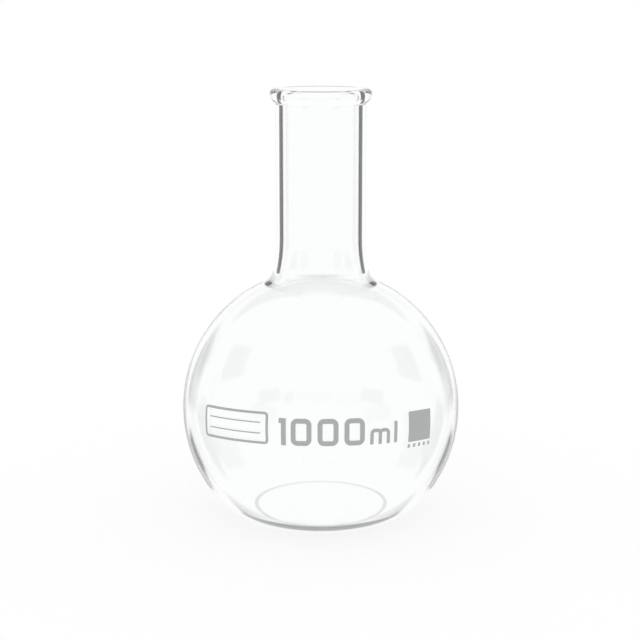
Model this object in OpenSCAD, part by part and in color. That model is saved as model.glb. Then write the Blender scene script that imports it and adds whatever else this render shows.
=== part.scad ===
// Flat-bottomed round flask with a narrow neck and a beaded rim, 1000 ml.
// The glass is one blown vessel. It is drawn as the stretches that a glassblower
// names, which meet face to face on level cuts. The fired enamel marks are
// separate solids that lie on the outside of the bulb.
// Frame: +Z up along the axis, origin at the centre of the base, marks at -Y.

/* [Bulb] */
// Outside diameter of the bulb
bulb_od = 131; // [105:1:160]
// Glass thickness at the bulb's widest level
bulb_wall = 2.4; // [1.4:0.1:3]
// How much thicker the glass is under the bulb than at its widest level
bulb_settle = 0.7; // [0:0.1:1.2]

/* [Foot] */
// Outside diameter of the ring that the flask stands on
foot_ring_d = 65; // [50:1:72]
// Width of the flat ring that the flask stands on
foot_flat_w = 2; // [1:0.5:4]
// Radius of the heel between the bulb and the foot ring
heel_radius = 22; // [12:1:26]
// Glass thickness of the base
base_wall = 2.5; // [1.8:0.1:4]
// Height of the pushed-up middle of the base above the table
push_up = 1.2; // [0.4:0.1:3]

/* [Neck] */
// Height of the flask from the table to the top of the rim
total_height = 201; // [185:1:260]
// Outside diameter of the neck
neck_od = 42; // [32:0.5:52]
// Glass thickness of the neck
neck_wall = 3.3; // [1.8:0.1:4]
// Radius of the slow flare at the foot of the neck
flare_radius = 68; // [40:1:90]
// Angle that the slow flare turns through
flare_angle = 12; // [6:1:18]
// Radius of the tight fillet between the flare and the bulb
shoulder_radius = 8.5; // [5:0.5:14]

/* [Rim] */
// How far the bead stands out from the neck
bead_out = 2.5; // [1.5:0.1:4]
// Radius of the bead's upper outside corner
bead_top_radius = 2.2; // [1.5:0.1:2.6]
// Radius of the bead's lower side
bead_side_radius = 5; // [3.5:0.1:7]
// Radius of the fillet under the bead
bead_fillet = 1; // [0.5:0.1:2]
// Radius of the lip's inside corner
lip_radius = 1.6; // [0.8:0.1:2]
// Radius of the mouth's flare above the straight bore
mouth_radius = 6; // [4:0.5:10]
// How far the mouth flares out before its lip turns over
mouth_flare = 0.3; // [0.1:0.1:1]

/* [Marks] */
// Thickness of the fired enamel
enamel = 0.1; // [0.05:0.01:0.2]
// Height of the numbers
digit_h = 12.1; // [8:0.1:15]
// Width of a nought
digit_w = 9.2; // [7:0.1:10]
// Stroke width of the numbers
digit_stroke = 2.2; // [1.2:0.1:2.6]
// Distance between the middles of neighbouring noughts
digit_pitch = 11.85; // [11:0.05:13]
// Distance along the bulb from its front to the middle of the first nought
first_nought = -8.7; // [-12:0.1:-6]
// Height of the small letters
letter_h = 7; // [6:0.1:8]
// Height of the tall letter
ascender_h = 9.8; // [8.5:0.1:12]
// Width of the letter m
letter_m_w = 9.6; // [8:0.1:10.5]
// Stroke width of the letters
letter_stroke = 1.6; // [1:0.1:2]
// Side of the square patch for pencil notes
patch_side = 13.8; // [10:0.1:16]
// Width of the ruled panel
panel_w = 36; // [28:0.5:40]
// Height of the ruled panel
panel_h = 14.4; // [12:0.1:17]
// Line width of the ruled panel
panel_line = 1.1; // [0.5:0.1:1.4]
// Number of ruled lines in the panel
panel_rules = 2; // [1:1:3]
// How far below the marks' mid line the numbers stand
baseline_drop = 6.95; // [5:0.05:8]
// Tilt of the marks' mid line, which rises above the bulb's widest level at the front
mark_tilt = 5.2; // [0:0.1:8]

/* [Hidden] */
$fn = 96;
GLASS = [0.86, 0.92, 0.93, 0.35];
ENAMEL = [0.66, 0.67, 0.67];

NECK_R = neck_od / 2;
BORE_R = NECK_R - neck_wall;
BULB_R = bulb_od / 2;
CAVITY_R = BULB_R - bulb_wall;
FOOT_R = foot_ring_d / 2;
FOOT_IN_R = FOOT_R - foot_flat_w;
// The heel is never so big that the foot ring leaves the bulb.
HEEL_R = min(heel_radius, 0.7 * (BULB_R - FOOT_R));
CENTRE_Z = HEEL_R + sqrt(pow(BULB_R - HEEL_R, 2) - pow(FOOT_R, 2));
CAVITY_Z = CENTRE_Z + bulb_settle;
CAVITY_HEEL_R = HEEL_R - base_wall;
CAVITY_FOOT_R = sqrt(pow(CAVITY_R - CAVITY_HEEL_R, 2) - pow(CAVITY_Z - base_wall - CAVITY_HEEL_R, 2));
DOME_R = (pow(FOOT_IN_R, 2) + pow(push_up, 2)) / (2 * push_up);

// One side of the glass: [neck radius, flare, fillet, bulb radius, bulb centre, heel radius, foot radius, floor]
OUTSIDE = [NECK_R, flare_radius, shoulder_radius, BULB_R, CENTRE_Z, HEEL_R, FOOT_R, 0];
INSIDE = [BORE_R, flare_radius + neck_wall, shoulder_radius + bulb_wall,
    CAVITY_R, CAVITY_Z, CAVITY_HEEL_R, CAVITY_FOOT_R, base_wall];

// Centre of the shoulder fillet, which touches both the flare and the bulb
function fillet_x(s) = s[0] + s[1] - (s[1] - s[2]) * cos(flare_angle);
function fillet_z(s) = s[4] + sqrt(pow(s[3] + s[2], 2) - pow(fillet_x(s), 2));
// Level where the flare leaves the straight neck
function flare_z(s) = fillet_z(s) + (s[1] - s[2]) * sin(flare_angle);
// Level where the fillet takes over from the flare
function bend_z(s) = fillet_z(s) - s[2] * sin(flare_angle);
// Level where the bulb takes over from the fillet
function crown_z(s) = s[4] + (fillet_z(s) - s[4]) * s[3] / (s[3] + s[2]);
// Level where the heel takes over from the bulb
function heel_z(s) = s[4] + (s[7] + s[5] - s[4]) * s[3] / (s[3] - s[5]);

// Bead: the centres of its arcs, and the level where its fillet takes over from its side
BEAD_X = NECK_R + bead_out - bead_side_radius;
BEAD_Z = total_height - bead_top_radius;
CORNER_X = NECK_R + bead_out - bead_top_radius;
FILLET_X = NECK_R + bead_fillet;
FILLET_Z = BEAD_Z - sqrt(pow(bead_side_radius + bead_fillet, 2) - pow(FILLET_X - BEAD_X, 2));
BEAD_END_Z = BEAD_Z - (BEAD_Z - FILLET_Z) * bead_side_radius / (bead_side_radius + bead_fillet);
// Mouth: the centres of its arcs, and the level where its lip takes over from its flare
LIP_X = BORE_R + mouth_flare + lip_radius;
LIP_Z = total_height - lip_radius;
MOUTH_X = BORE_R + mouth_radius;
MOUTH_Z = LIP_Z - sqrt(pow(mouth_radius - lip_radius, 2) - pow(MOUTH_X - LIP_X, 2));
MOUTH_END_Z = MOUTH_Z + (LIP_Z - MOUTH_Z) * mouth_radius / (mouth_radius - lip_radius);

// Levels of the cuts between the stretches of glass
RIM_CUT = min(FILLET_Z, MOUTH_Z);
NECK_CUT = max(flare_z(OUTSIDE), flare_z(INSIDE));
FLARE_CUT = bend_z(OUTSIDE);
SHOULDER_CUT = crown_z(OUTSIDE);
HEEL_CUT = heel_z(OUTSIDE);

// Places of the marks, measured along the bulb from its front
NOUGHTS = [for (i = [0:2]) first_nought + i * digit_pitch];
ONE_AT = -16.6;
M_AT = 27;
L_AT = 34.8;
PATCH_AT = 48.9;
PANEL_AT = -42;
// Corner radii of the noughts, the letters and the panel, and the flag of the one
NOUGHT_CORNER = 2.9;
LETTER_CORNER = 2.2;
PANEL_CORNER = 1.8;
FLAG = 1.1;
// Row of short ticks under the patch
TICKS = 5;
TICK_H = 1.6;
TICK_W = 1.3;
TICK_GAP = 1;
// Depth that a mark's outline is carried into the bulb before it is cut to a skin
MARK_DEPTH = 8;

// Everything between two levels, from the axis out past the glass
module band(z0, z1, out) {
    translate([0, z0]) square([out, z1 - z0]);
}

module disc(x, z, r) {
    translate([x, z]) circle(r);
}

// Half section of everything inside one side of the glass, between the floor and a level.
// Each piece reaches into the next one, inside the outline, so that they join whole.
module half_section(s, top) {
    band(bend_z(s), top, s[0]);
    difference() {
        band(crown_z(s), flare_z(s), s[0] + s[1]);
        disc(s[0] + s[1], flare_z(s), s[1]);
    }
    difference() {
        band(crown_z(s), bend_z(s), fillet_x(s));
        disc(fillet_x(s), fillet_z(s), s[2]);
    }
    intersection() {
        band(heel_z(s), bend_z(s), s[3] + 1);
        disc(0, s[4], s[3]);
    }
    intersection() {
        band(s[7], s[4], s[3] + 1);
        union() {
            band(s[7], s[4], s[6]);
            disc(s[6], s[7] + s[5], s[5]);
        }
    }
}

// Half section of the glass wall between two levels
module wall_section(z0, z1) {
    intersection() {
        band(z0, z1, BULB_R + 1);
        difference() {
            half_section(OUTSIDE, total_height);
            half_section(INSIDE, total_height + 1);
        }
    }
}

module glass(z0, z1) {
    color(GLASS) rotate_extrude() wall_section(z0, z1);
}

// Half section of the bead: a tight top corner, a fuller side and a fillet onto the neck
module bead_section() {
    band(RIM_CUT, LIP_Z, NECK_R);
    difference() {
        band(FILLET_Z, BEAD_END_Z, FILLET_X);
        disc(FILLET_X, FILLET_Z, bead_fillet);
    }
    intersection() {
        band(RIM_CUT, BEAD_Z, BULB_R);
        disc(BEAD_X, BEAD_Z, bead_side_radius);
    }
    disc(CORNER_X, BEAD_Z, bead_top_radius);
    band(BEAD_Z, total_height, CORNER_X);
}

// Half section of the air in the mouth: a straight bore, a flare and a rounded lip
module mouth_section() {
    band(RIM_CUT - 1, total_height + 1, BORE_R);
    difference() {
        band(MOUTH_Z, total_height + 1, MOUTH_X);
        disc(MOUTH_X, MOUTH_Z, mouth_radius);
    }
    difference() {
        band(MOUTH_END_Z, total_height + 1, LIP_X);
        disc(LIP_X, LIP_Z, lip_radius);
    }
}

module rim_bead() {
    color(GLASS) rotate_extrude() difference() {
        bead_section();
        mouth_section();
    }
}

module neck_tube() {
    glass(NECK_CUT, RIM_CUT);
}

module neck_flare() {
    glass(FLARE_CUT, NECK_CUT);
}

module shoulder() {
    glass(SHOULDER_CUT, FLARE_CUT);
}

module bulb_upper() {
    glass(CENTRE_Z, SHOULDER_CUT);
}

module bulb_lower() {
    glass(HEEL_CUT, CENTRE_Z);
}

module heel() {
    color(GLASS) rotate_extrude() difference() {
        wall_section(0, HEEL_CUT);
        band(-1, base_wall + 1, FOOT_IN_R);
    }
}

// The pushed-up middle of the base, as thick as the rest of the base
module base_disc() {
    color(GLASS) rotate_extrude() difference() {
        intersection() {
            band(0, base_wall + push_up, FOOT_IN_R);
            disc(0, base_wall + push_up - DOME_R, DOME_R);
        }
        disc(0, push_up - DOME_R, DOME_R);
    }
}

// Turns a distance along the bulb into an angle about its axis
function turn(at) = at / BULB_R * 180 / PI;

// Lays an outline on the bulb as a skin of enamel, its foot on the numbers' base line
module mark(at) {
    color(ENAMEL) translate([0, 0, CENTRE_Z]) intersection() {
        rotate([-mark_tilt, 0, 0]) rotate([0, 0, turn(at)]) rotate([90, 0, 0])
            translate([0, -baseline_drop, BULB_R - MARK_DEPTH]) linear_extrude(MARK_DEPTH + 1) children();
        difference() {
            sphere(BULB_R + enamel);
            sphere(BULB_R);
        }
    }
}

// A rectangle with round corners, centred on x and standing on y = 0
module round_box(w, h, r) {
    translate([-w / 2 + r, 0]) square([w - 2 * r, h]);
    translate([-w / 2, r]) square([w, h - 2 * r]);
    for (x = [-w / 2 + r, w / 2 - r], y = [r, h - r]) translate([x, y]) circle(r);
}

// The line of a round-cornered rectangle
module round_frame(w, h, r, line) {
    difference() {
        round_box(w, h, r);
        translate([0, line]) round_box(w - 2 * line, h - 2 * line, r - line);
    }
}

module nought(at) {
    mark(at) round_frame(digit_w, digit_h, NOUGHT_CORNER, digit_stroke);
}

module digit_one() {
    mark(ONE_AT) {
        translate([-digit_stroke / 2, 0]) square([digit_stroke, digit_h]);
        translate([-digit_stroke / 2 - FLAG, digit_h - digit_stroke]) square([digit_stroke, digit_stroke]);
    }
}

// Two round arches on three legs
module letter_m() {
    arch = (letter_m_w + letter_stroke) / 2;
    mark(M_AT) intersection() {
        for (side = [-1, 1]) translate([side * (arch - letter_stroke) / 2, -letter_h])
            round_frame(arch, 2 * letter_h, LETTER_CORNER, letter_stroke);
        translate([-letter_m_w / 2, 0]) square([letter_m_w, letter_h]);
    }
}

module letter_l() {
    mark(L_AT) round_box(letter_stroke, ascender_h, letter_stroke / 3);
}

module note_patch() {
    mark(PATCH_AT) translate([0, digit_h - patch_side + 1]) round_box(patch_side, patch_side, 0.4);
}

module tick_row() {
    pitch = (patch_side - TICK_W) / (TICKS - 1);
    mark(PATCH_AT) for (i = [0:TICKS - 1])
        translate([(i - (TICKS - 1) / 2) * pitch - TICK_W / 2, digit_h - patch_side + 1 - TICK_GAP - TICK_H])
            square([TICK_W, TICK_H]);
}

module panel_frame() {
    mark(PANEL_AT) round_frame(panel_w, panel_h, PANEL_CORNER, panel_line);
}

// Ruled lines inside the panel, clear of its frame
module panel_rule() {
    gap = panel_h / (panel_rules + 1);
    mark(PANEL_AT) for (i = [1:panel_rules])
        translate([-panel_w / 2 + 2 * PANEL_CORNER, i * gap - panel_line / 4])
            square([panel_w - 4 * PANEL_CORNER, panel_line / 2]);
}

rim_bead();
neck_tube();
neck_flare();
shoulder();
bulb_upper();
bulb_lower();
heel();
base_disc();
digit_one();
for (i = [0:2]) nought(NOUGHTS[i]);
letter_m();
letter_l();
note_patch();
tick_row();
panel_frame();
panel_rule();
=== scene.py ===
"""Flat-bottomed round flask of clear blown glass with fired enamel marks.

The file is laid out as an add-on: property groups hold the sizes and colours, one
operator makes the glass, one dresses the enamel marks and one sets the stage.
"""
import math

import bpy
import numpy as np
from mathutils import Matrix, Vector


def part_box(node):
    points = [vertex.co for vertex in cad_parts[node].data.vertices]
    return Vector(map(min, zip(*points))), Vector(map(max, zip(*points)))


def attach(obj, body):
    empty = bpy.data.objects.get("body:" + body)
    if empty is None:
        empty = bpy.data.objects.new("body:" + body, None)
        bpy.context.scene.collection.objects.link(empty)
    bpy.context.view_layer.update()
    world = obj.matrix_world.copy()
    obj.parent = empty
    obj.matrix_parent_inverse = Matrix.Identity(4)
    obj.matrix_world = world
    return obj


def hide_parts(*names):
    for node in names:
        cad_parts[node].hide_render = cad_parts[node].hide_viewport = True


bl_info = {
    "name": "Round glass flask",
    "version": (1, 0, 0),
    "blender": (4, 5, 0),
    "location": "3D View > Sidebar > Flask",
    "description": "Builds a flat-bottomed glass flask with enamel marks",
    "category": "Add Mesh",
}

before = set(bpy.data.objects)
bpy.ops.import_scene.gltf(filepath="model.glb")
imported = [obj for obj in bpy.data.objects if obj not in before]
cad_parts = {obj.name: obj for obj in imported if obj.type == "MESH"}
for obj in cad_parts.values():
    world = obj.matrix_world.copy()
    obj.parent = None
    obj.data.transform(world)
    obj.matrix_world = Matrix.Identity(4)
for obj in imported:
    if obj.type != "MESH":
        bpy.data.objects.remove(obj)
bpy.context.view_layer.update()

MM = 0.001
GLASS_NODES = ("rim_bead", "neck_tube", "neck_flare", "shoulder",
               "bulb_upper", "bulb_lower", "heel", "base_disc")
MARK_NODES = ("digit_one", "nought_1", "nought_2", "nought_3", "letter_m", "letter_l",
              "note_patch", "tick_row", "panel_frame", "panel_rule")


# Dark cards that glass sees, each between two compass bearings either side of +Y, in degrees,
# and two heights on the sphere of directions, with the height of its soft edge and its strength
CARDS = {
    "beside": (31.5, 53.0, -0.22, 0.2, 0.05, 1.0),
    "below": (19.0, 34.0, -0.48, -0.34, 0.03, 1.0),
    "behind": (121.0, 143.0, -0.05, 0.15, 0.02, 1.0),
    "aside": (76.0, 104.0, -0.62, -0.29, 0.03, 1.0),
    "under": (-5.0, 40.0, -0.96, -0.64, 0.04, 0.75),
}
CARD_DEPTH = 0.92
CARD_INNER_EDGE = 2.5
CARD_OUTER_EDGE = 3.0
LIGHT_BOUNCES = 32


# ---------------------------------------------------------------- sizes and colours

def length(name, description, default):
    """A size in metres, given in millimetres."""
    return bpy.props.FloatProperty(name=name, description=description, default=default * MM,
                                   min=0.0, precision=5, subtype="DISTANCE", unit="LENGTH")


def colour(name, description, default):
    return bpy.props.FloatVectorProperty(name=name, description=description, default=default,
                                         size=4, min=0.0, max=1.0, subtype="COLOR")


def number(name, description, default, low=0.0, high=10.0):
    return bpy.props.FloatProperty(name=name, description=description, default=default,
                                   min=low, max=high)


class GlassSizes(bpy.types.PropertyGroup):
    """Sizes of the blown vessel. Heights and overall diameters come from the frame."""
    bulb_wall: length("Bulb wall", "Glass thickness at the bulb's widest level", 2.4)
    bulb_settle: length("Settled glass", "How much thicker the glass is under the bulb", 0.7)
    foot_flat: length("Foot flat", "Width of the flat ring that the flask stands on", 2.0)
    heel_radius: length("Heel radius", "Radius between the bulb and the foot ring", 22.0)
    base_wall: length("Base wall", "Glass thickness of the base", 2.5)
    push_up: length("Push-up", "Height of the base's raised middle", 1.2)
    neck_wall: length("Neck wall", "Glass thickness of the neck", 3.3)
    flare_radius: length("Flare radius", "Radius of the slow flare under the neck", 68.0)
    flare_angle: bpy.props.FloatProperty(
        name="Flare angle", description="Angle that the slow flare turns through",
        default=math.radians(12.0), subtype="ANGLE", unit="ROTATION")
    shoulder_radius: length("Shoulder radius", "Radius between the flare and the bulb", 8.5)
    bead_top: length("Bead top", "Radius of the bead's upper corner", 2.2)
    bead_side: length("Bead side", "Radius of the bead's lower side", 5.0)
    bead_fillet: length("Bead fillet", "Radius of the fillet under the bead", 1.0)
    lip_radius: length("Lip radius", "Radius of the lip's inside corner", 1.6)
    mouth_radius: length("Mouth radius", "Radius of the mouth's flare", 6.0)
    mouth_flare: length("Mouth flare", "How far the mouth flares out before its lip turns over", 0.3)
    step: length("Mesh step", "Longest distance between rings of the mesh", 1.1)
    segments: bpy.props.IntProperty(name="Segments", description="Faces around the axis",
                                    default=256, min=64, max=512)


class FlaskLook(bpy.types.PropertyGroup):
    """Colours and finishes."""
    glass_tint: colour("Glass tint", "Colour that the glass lends to light", (0.985, 0.995, 0.99, 1.0))
    glass_ior: number("Refraction", "Index of refraction of the glass", 1.473, 1.0, 2.0)
    # The enamel is white; this grey is painted shade, the darkness that white enamel shows against the
    # light, set into its colour.
    enamel: colour("Enamel", "Colour of the fired enamel", (0.40, 0.405, 0.405, 1.0))
    floor: colour("Floor", "Colour of the table", (0.98, 0.98, 0.98, 1.0))


class StageSizes(bpy.types.PropertyGroup):
    """Where the camera stands."""
    distance: length("Camera distance", "Level distance from the flask's axis", 734.9)
    height: length("Camera height", "Height above the table", 245.1)
    pitch: bpy.props.FloatProperty(name="Camera pitch", description="Angle that the camera looks down",
                                   default=math.radians(11.72), subtype="ANGLE", unit="ROTATION")
    lens: bpy.props.FloatProperty(name="Lens", description="Focal length in millimetres",
                                  default=89.45, min=10.0, max=300.0)
    shift: bpy.props.FloatProperty(name="Camera shift", default=-0.0013, precision=4,
                                   description="Sideways shift of the lens, in frame widths")
    table: length("Table radius", "Radius of the table top", 3000.0)


# ---------------------------------------------------------------- shader expressions

class Socket:
    """A node's output that Python's operators add Math nodes to."""

    def __init__(self, tree, output):
        self.tree = tree
        self.output = output

    def math(self, operation, *others):
        node = self.tree.nodes.new("ShaderNodeMath")
        node.operation = operation
        for slot, value in zip(node.inputs, (self, *others)):
            connect(self.tree, slot, value)
        return Socket(self.tree, node.outputs[0])

    def __add__(self, other):
        return self.math("ADD", other)

    def __radd__(self, other):
        return self.math("ADD", other)

    def __mul__(self, other):
        return self.math("MULTIPLY", other)

    def __rmul__(self, other):
        return self.math("MULTIPLY", other)

    def __sub__(self, other):
        return self.math("SUBTRACT", other)

    def __rsub__(self, other):
        return (self * -1.0) + other

    def clamp(self):
        return self.math("MAXIMUM", 0.0).math("MINIMUM", 1.0)


def connect(tree, slot, value):
    """Feeds a socket from a Socket, or sets its value."""
    if isinstance(value, Socket):
        tree.links.new(value.output, slot)
    else:
        slot.default_value = value


class Shader:
    """A node tree, and one method that adds any node to it."""

    def __init__(self, tree):
        self.tree = tree
        tree.nodes.clear()

    def node(self, kind, settings=None, out=0, **inputs):
        """Adds a node, sets its settings, then its sockets by name (spaces as underscores)."""
        node = self.tree.nodes.new(kind)
        for key, value in (settings or {}).items():
            setattr(node, key, value)
        for key, value in inputs.items():
            connect(self.tree, self.find(node.inputs, key), value)
        return Socket(self.tree, node.outputs[out])

    @staticmethod
    def find(sockets, key):
        if key.startswith("i") and key[1:].isdigit():
            return sockets[int(key[1:])]
        return sockets[key.replace("_", " ")]

    def output(self, kind, **inputs):
        target = self.tree.nodes.new(kind)
        for key, value in inputs.items():
            connect(self.tree, target.inputs[key], value)

    def mix_colour(self, factor, a, b):
        node = self.tree.nodes.new("ShaderNodeMix")
        node.data_type = "RGBA"
        connect(self.tree, node.inputs[0], factor)
        connect(self.tree, node.inputs[6], a)
        connect(self.tree, node.inputs[7], b)
        return Socket(self.tree, node.outputs[2])

    def smooth(self, value, low, high):
        """0 below low, 1 above high, and a smooth step between."""
        node = self.tree.nodes.new("ShaderNodeMapRange")
        node.interpolation_type = "SMOOTHSTEP"
        connect(self.tree, node.inputs["Value"], value)
        node.inputs["From Min"].default_value = low
        node.inputs["From Max"].default_value = high
        return Socket(self.tree, node.outputs[0])


def new_material(name):
    material = bpy.data.materials.new(name)
    material.use_nodes = True
    return material, Shader(material.node_tree)


def glass_material(look):
    """Clear borosilicate glass: smooth, with the faint drawn waves of blown work."""
    material, shader = new_material("clear_glass")
    place = shader.node("ShaderNodeTexCoord", out=3)
    stretched = shader.node("ShaderNodeMapping", Vector=place, Scale=(60.0, 60.0, 14.0))
    waves = shader.node("ShaderNodeTexNoise", Vector=stretched, Scale=1.0, Detail=1.0, Roughness=0.4)
    bump = shader.node("ShaderNodeBump", Strength=0.06, Distance=0.0004, Height=waves)
    surface = shader.node("ShaderNodeBsdfPrincipled", Base_Color=tuple(look.glass_tint), Roughness=0.0,
                          IOR=look.glass_ior, Transmission_Weight=1.0, Normal=bump)
    shader.output("ShaderNodeOutputMaterial", Surface=surface)
    return material


def enamel_material(look):
    """Fired enamel: matt, slightly granular, with the screen's faint streaks. Its grey colour is painted
    shade on white enamel.
    """
    material, shader = new_material("fired_enamel")
    place = shader.node("ShaderNodeTexCoord", out=3)
    grain = shader.node("ShaderNodeTexNoise", Vector=place, Scale=2600.0, Detail=2.0, Roughness=0.6)
    cloud = shader.node("ShaderNodeTexNoise", Vector=place, Scale=160.0, Detail=2.0, Roughness=0.5)
    shade = (grain - 0.5) * 0.06 + (cloud - 0.5) * 0.08 + 0.5
    # Base colour: white enamel painted down to grey as painted shade; the two noises vary that grey at
    # random.
    base = np.array(look.enamel[:3])
    painted_shade_and_tone = shader.mix_colour(shade.clamp(), (*(base * 0.8), 1.0), (*(base * 1.2), 1.0))
    bump = shader.node("ShaderNodeBump", Strength=0.25, Distance=0.00003, Height=grain)
    surface = shader.node("ShaderNodeBsdfPrincipled", Base_Color=painted_shade_and_tone,
                          Roughness=0.5 + (cloud - 0.5) * 0.2, IOR=1.5, Normal=bump)
    shader.output("ShaderNodeOutputMaterial", Surface=surface)
    return material


# ---------------------------------------------------------------- surfaces

def arc(x, z, radius, start, end, step):
    """Points on a circle of the half section, from one angle towards another, in radians."""
    count = max(3, int(math.ceil(abs(end - start) * radius / step)))
    angle = np.linspace(start, end, count, endpoint=False)
    return np.column_stack((x + radius * np.cos(angle), z + radius * np.sin(angle)))


def straight(x0, z0, x1, z1, step):
    """Points along a straight stretch of the half section."""
    count = max(1, int(math.ceil(math.hypot(x1 - x0, z1 - z0) / step)))
    share = np.linspace(0.0, 1.0, count, endpoint=False)[:, None]
    return np.array((x0, z0)) * (1.0 - share) + np.array((x1, z1)) * share


class Side:
    """Where the arcs of one side of the glass meet: the outside, or the hollow."""

    def __init__(self, neck, flare, fillet, bulb, centre, heel, foot, floor, angle):
        self.neck, self.flare, self.fillet, self.bulb = neck, flare, fillet, bulb
        self.centre, self.heel, self.foot, self.floor, self.angle = centre, heel, foot, floor, angle
        self.fillet_x = neck + flare - (flare - fillet) * math.cos(angle)
        self.fillet_z = centre + math.sqrt((bulb + fillet) ** 2 - self.fillet_x ** 2)
        self.flare_z = self.fillet_z + (flare - fillet) * math.sin(angle)
        self.crown = math.atan2(self.fillet_z - centre, self.fillet_x)
        self.turn = math.atan2(floor + heel - centre, foot)

    def outline(self, step):
        """From the foot up to the straight neck: heel, bulb, fillet and flare, all tangent."""
        fine = step * 0.5
        return np.vstack((
            arc(self.foot, self.floor + self.heel, self.heel, -math.pi / 2, self.turn, step),
            arc(0.0, self.centre, self.bulb, self.turn, self.crown, step),
            arc(self.fillet_x, self.fillet_z, self.fillet, self.crown + math.pi, math.pi + self.angle, fine),
            arc(self.neck + self.flare, self.flare_z, self.flare, math.pi + self.angle, math.pi, step)))


def vessel_section(sizes):
    """The closed half section of the glass, from the axis under the base, up the outside,
    over the rim, down the hollow and back to the axis. All stretches are arcs or lines."""
    rim_low, rim_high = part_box("rim_bead")
    tube_low, tube_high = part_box("neck_tube")
    bulb_low, bulb_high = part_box("bulb_upper")
    disc_low, disc_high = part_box("base_disc")
    top = rim_high[2]
    neck = (tube_high[0] - tube_low[0]) / 2
    bulb = (bulb_high[0] - bulb_low[0]) / 2
    rim = (rim_high[0] - rim_low[0]) / 2
    flat_in = (disc_high[0] - disc_low[0]) / 2
    centre = bulb_low[2]
    foot = flat_in + sizes.foot_flat
    outside = Side(neck, sizes.flare_radius, sizes.shoulder_radius, bulb, centre,
                   sizes.heel_radius, foot, 0.0, sizes.flare_angle)
    hollow_bulb = bulb - sizes.bulb_wall
    hollow_centre = centre + sizes.bulb_settle
    hollow_heel = sizes.heel_radius - sizes.base_wall
    hollow_foot = math.sqrt((hollow_bulb - hollow_heel) ** 2
                            - (hollow_centre - sizes.base_wall - hollow_heel) ** 2)
    bore = neck - sizes.neck_wall
    hollow = Side(bore, sizes.flare_radius + sizes.neck_wall, sizes.shoulder_radius + sizes.bulb_wall,
                  hollow_bulb, hollow_centre, hollow_heel, hollow_foot, sizes.base_wall,
                  sizes.flare_angle)
    # Bead and mouth
    bead_x, bead_z = rim - sizes.bead_side, top - sizes.bead_top
    fillet_x = neck + sizes.bead_fillet
    fillet_z = bead_z - math.sqrt((sizes.bead_side + sizes.bead_fillet) ** 2 - (fillet_x - bead_x) ** 2)
    under = math.atan2(bead_z - fillet_z, bead_x - fillet_x)
    corner_x = rim - sizes.bead_top
    lip_x, lip_z = bore + sizes.mouth_flare + sizes.lip_radius, top - sizes.lip_radius
    mouth_x = bore + sizes.mouth_radius
    mouth_z = lip_z - math.sqrt((sizes.mouth_radius - sizes.lip_radius) ** 2 - (mouth_x - lip_x) ** 2)
    throat = math.atan2(lip_z - mouth_z, lip_x - mouth_x)
    # Base
    dome = (flat_in ** 2 + sizes.push_up ** 2) / (2 * sizes.push_up)
    dome_turn = math.acos(flat_in / dome)
    step, fine = sizes.step, sizes.step * 0.22
    return np.vstack((
        arc(0.0, sizes.push_up - dome, dome, math.pi / 2, dome_turn, step * 2),
        straight(flat_in, 0.0, foot, 0.0, fine),
        outside.outline(step),
        straight(neck, outside.flare_z, neck, fillet_z, step),
        arc(fillet_x, fillet_z, sizes.bead_fillet, math.pi, under, fine),
        arc(bead_x, bead_z, sizes.bead_side, under - math.pi, 0.0, fine),
        arc(corner_x, bead_z, sizes.bead_top, 0.0, math.pi / 2, fine),
        straight(corner_x, top, lip_x, top, fine),
        arc(lip_x, lip_z, sizes.lip_radius, math.pi / 2, throat, fine),
        arc(mouth_x, mouth_z, sizes.mouth_radius, throat, math.pi, fine * 2),
        straight(bore, mouth_z, bore, hollow.flare_z, step),
        hollow.outline(step)[::-1],
        straight(hollow_foot, sizes.base_wall, flat_in, sizes.base_wall, step),
        arc(0.0, sizes.base_wall + sizes.push_up - dome, dome, dome_turn, math.pi / 2, step * 2),
        [(0.0, sizes.base_wall + sizes.push_up)]))


def revolve(section, segments):
    """Carries a half section about the axis: x = r cos u, y = r sin u. Its first and last points
    lie on the axis and become single poles. Returns vertices, quads and the poles' triangles."""
    ring = section[1:-1]
    turn = np.linspace(0.0, 2 * math.pi, segments, endpoint=False)
    x = ring[:, :1] * np.cos(turn)
    y = ring[:, :1] * np.sin(turn)
    z = np.broadcast_to(ring[:, 1:], x.shape)
    body = np.stack((x, y, z), axis=-1).reshape(-1, 3)
    poles = np.array(((0.0, 0.0, section[0, 1]), (0.0, 0.0, section[-1, 1])))
    index = np.arange(len(ring) * segments).reshape(len(ring), segments)
    after = np.roll(index, -1, axis=1)
    quads = np.stack((index[:-1], after[:-1], after[1:], index[1:]), axis=-1).reshape(-1, 4)
    first, last = len(body), len(body) + 1
    low = np.stack((np.full(segments, first), after[0], index[0]), axis=-1)
    high = np.stack((np.full(segments, last), index[-1], after[-1]), axis=-1)
    return np.vstack((body, poles)), quads, np.vstack((low, high))


def build_mesh(name, vertices, quads, triangles):
    """Puts arrays of vertices and faces into a smooth mesh object."""
    mesh = bpy.data.meshes.new(name)
    mesh.vertices.add(len(vertices))
    mesh.vertices.foreach_set("co", vertices.ravel())
    loops = np.concatenate((quads.ravel(), triangles.ravel()))
    starts = np.concatenate((np.arange(len(quads)) * 4, len(quads) * 4 + np.arange(len(triangles)) * 3))
    mesh.loops.add(len(loops))
    mesh.loops.foreach_set("vertex_index", loops)
    mesh.polygons.add(len(starts))
    mesh.polygons.foreach_set("loop_start", starts)
    mesh.polygons.foreach_set("use_smooth", np.ones(len(starts), dtype=bool))
    mesh.update(calc_edges=True)
    mesh.validate()
    piece = bpy.data.objects.new(name, mesh)
    bpy.context.scene.collection.objects.link(piece)
    return piece


# ---------------------------------------------------------------- operators

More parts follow.
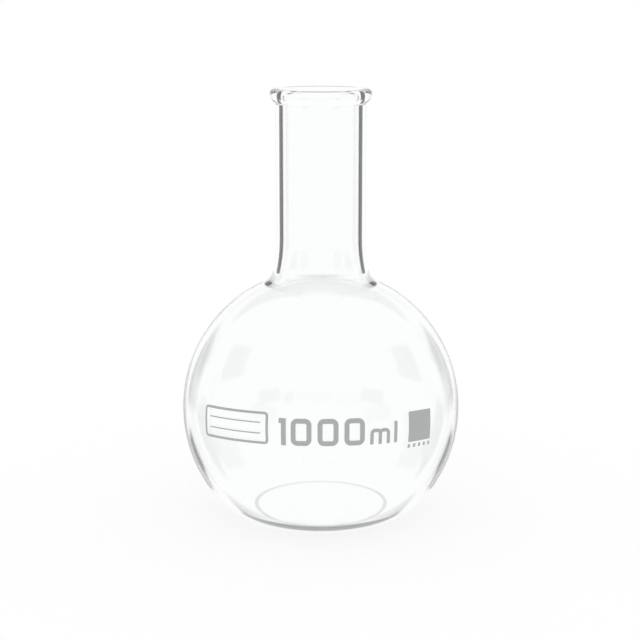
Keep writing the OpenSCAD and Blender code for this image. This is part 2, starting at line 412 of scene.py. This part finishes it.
class FLASK_OT_glass(bpy.types.Operator):
    """Make the blown glass vessel as one closed surface"""
    bl_idname = "flask.glass"
    bl_label = "Glass vessel"

    def execute(self, context):
        sizes = context.scene.flask_glass
        vertices, quads, triangles = revolve(vessel_section(sizes), sizes.segments)
        piece = build_mesh("glass_vessel", vertices, quads, triangles)
        piece.data.materials.append(glass_material(context.scene.flask_look))
        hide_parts(*GLASS_NODES)
        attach(piece, "root")
        return {"FINISHED"}


class FLASK_OT_marks(bpy.types.Operator):
    """Give the enamel marks their fired finish"""
    bl_idname = "flask.marks"
    bl_label = "Enamel marks"

    def execute(self, context):
        enamel = enamel_material(context.scene.flask_look)
        for name in MARK_NODES:
            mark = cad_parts[name]
            mark.data.materials.clear()
            mark.data.materials.append(enamel)
        return {"FINISHED"}


class FLASK_OT_stage(bpy.types.Operator):
    """Set the table, the soft light and the camera"""
    bl_idname = "flask.stage"
    bl_label = "Stage"

    def execute(self, context):
        scene = context.scene
        stage = scene.flask_stage
        self.table(scene.flask_look, stage.table)
        self.light(scene)
        self.camera(scene, stage)
        scene.view_settings.view_transform = "Standard"
        scene.cycles.max_bounces = LIGHT_BOUNCES
        scene.cycles.transmission_bounces = LIGHT_BOUNCES
        scene.cycles.glossy_bounces = LIGHT_BOUNCES
        return {"FINISHED"}

    @staticmethod
    def table(look, radius):
        """A round table top that shows its shadow to the eye and lets glass see past it."""
        turn = np.linspace(0.0, 2 * math.pi, 96, endpoint=False)
        edge = np.column_stack((radius * np.cos(turn), radius * np.sin(turn), np.zeros(96)))
        vertices = np.vstack((edge, (0.0, 0.0, 0.0)))
        index = np.arange(96)
        triangles = np.stack((index, np.roll(index, -1), np.full(96, 96)), axis=-1)
        table = build_mesh("table", vertices, np.zeros((0, 4), dtype=int), triangles)
        material, shader = new_material("table_top")
        path = shader.tree.nodes.new("ShaderNodeLightPath")
        seen_through = Socket(shader.tree, path.outputs["Is Transmission Ray"])
        place = shader.node("ShaderNodeTexCoord", out=3)
        away = shader.node("ShaderNodeVectorMath", {"operation": "LENGTH"}, out=1, i0=place)
        top = shader.node("ShaderNodeBsdfDiffuse", Color=tuple(look.floor))
        glow = shader.node("ShaderNodeEmission", Color=(1.0, 1.0, 1.0, 1.0), Strength=1.0)
        share = shader.smooth(away, 0.07, 0.3) * 0.15 + 0.85
        lit = shader.node("ShaderNodeMixShader", i0=share, i1=top, i2=glow)
        clear = shader.node("ShaderNodeBsdfTransparent")
        surface = shader.node("ShaderNodeMixShader", i0=seen_through, i1=lit, i2=clear)
        shader.output("ShaderNodeOutputMaterial", Surface=surface)
        table.data.materials.append(material)

    @staticmethod
    def light(scene):
        """A white room. Only light that has passed through glass sees the dark cards."""
        world = bpy.data.worlds.new("studio")
        world.use_nodes = True
        scene.world = world
        shader = Shader(world.node_tree)
        path = shader.tree.nodes.new("ShaderNodeLightPath")
        through = Socket(shader.tree, path.outputs["Is Transmission Ray"])
        direction = shader.node("ShaderNodeTexCoord", out=0)
        split = shader.tree.nodes.new("ShaderNodeSeparateXYZ")
        connect(shader.tree, split.inputs[0], direction)
        x, y, z = (Socket(shader.tree, output) for output in split.outputs)
        bearing = x.math("ARCTAN2", y).math("ABSOLUTE") * (180.0 / math.pi)

        def card(left, right, low, high, soft, strength):
            sides = shader.smooth(bearing, left - CARD_INNER_EDGE, left + CARD_INNER_EDGE)
            sides = sides * (1.0 - shader.smooth(bearing, right - CARD_OUTER_EDGE, right + CARD_OUTER_EDGE))
            level = shader.smooth(z, low - soft, low + soft)
            return sides * level * (1.0 - shader.smooth(z, high - soft, high + soft)) * strength

        dark = sum(card(*place) for place in CARDS.values()).clamp()
        brightness = 1.0 - through * dark * CARD_DEPTH
        white = shader.node("ShaderNodeBackground", Color=(1.0, 1.0, 1.0, 1.0), Strength=brightness)
        shader.output("ShaderNodeOutputWorld", Surface=white)

    @staticmethod
    def camera(scene, stage):
        data = bpy.data.cameras.new("camera")
        data.lens = stage.lens
        data.sensor_width = 36.0
        data.shift_x = stage.shift
        data.clip_end = 20.0
        camera = bpy.data.objects.new("camera", data)
        camera.location = (0.0, -stage.distance, stage.height)
        camera.rotation_euler = (math.pi / 2 - stage.pitch, 0.0, 0.0)
        scene.collection.objects.link(camera)
        scene.camera = camera


class FLASK_PT_panel(bpy.types.Panel):
    """Lists the flask's operators and sizes"""
    bl_idname = "FLASK_PT_panel"
    bl_label = "Round flask"
    bl_space_type = "VIEW_3D"
    bl_region_type = "UI"
    bl_category = "Flask"

    def draw(self, context):
        column = self.layout.column()
        for operator in OPERATORS:
            column.operator(operator.bl_idname)
        for group in ("flask_glass", "flask_look", "flask_stage"):
            values = getattr(context.scene, group)
            for name in values.bl_rna.properties.keys():
                if name not in ("rna_type", "name"):
                    column.prop(values, name)


GROUPS = {"flask_glass": GlassSizes, "flask_look": FlaskLook, "flask_stage": StageSizes}
OPERATORS = (FLASK_OT_stage, FLASK_OT_glass, FLASK_OT_marks)


def register():
    for group in GROUPS.values():
        bpy.utils.register_class(group)
    for name, group in GROUPS.items():
        setattr(bpy.types.Scene, name, bpy.props.PointerProperty(type=group))
    for cls in (*OPERATORS, FLASK_PT_panel):
        bpy.utils.register_class(cls)


def unregister():
    for cls in (FLASK_PT_panel, *reversed(OPERATORS)):
        bpy.utils.unregister_class(cls)
    for name in GROUPS:
        delattr(bpy.types.Scene, name)
    for group in reversed(list(GROUPS.values())):
        bpy.utils.unregister_class(group)


def main():
    register()
    bpy.ops.flask.stage()
    bpy.ops.flask.glass()
    bpy.ops.flask.marks()


if __name__ == "__main__":
    main()
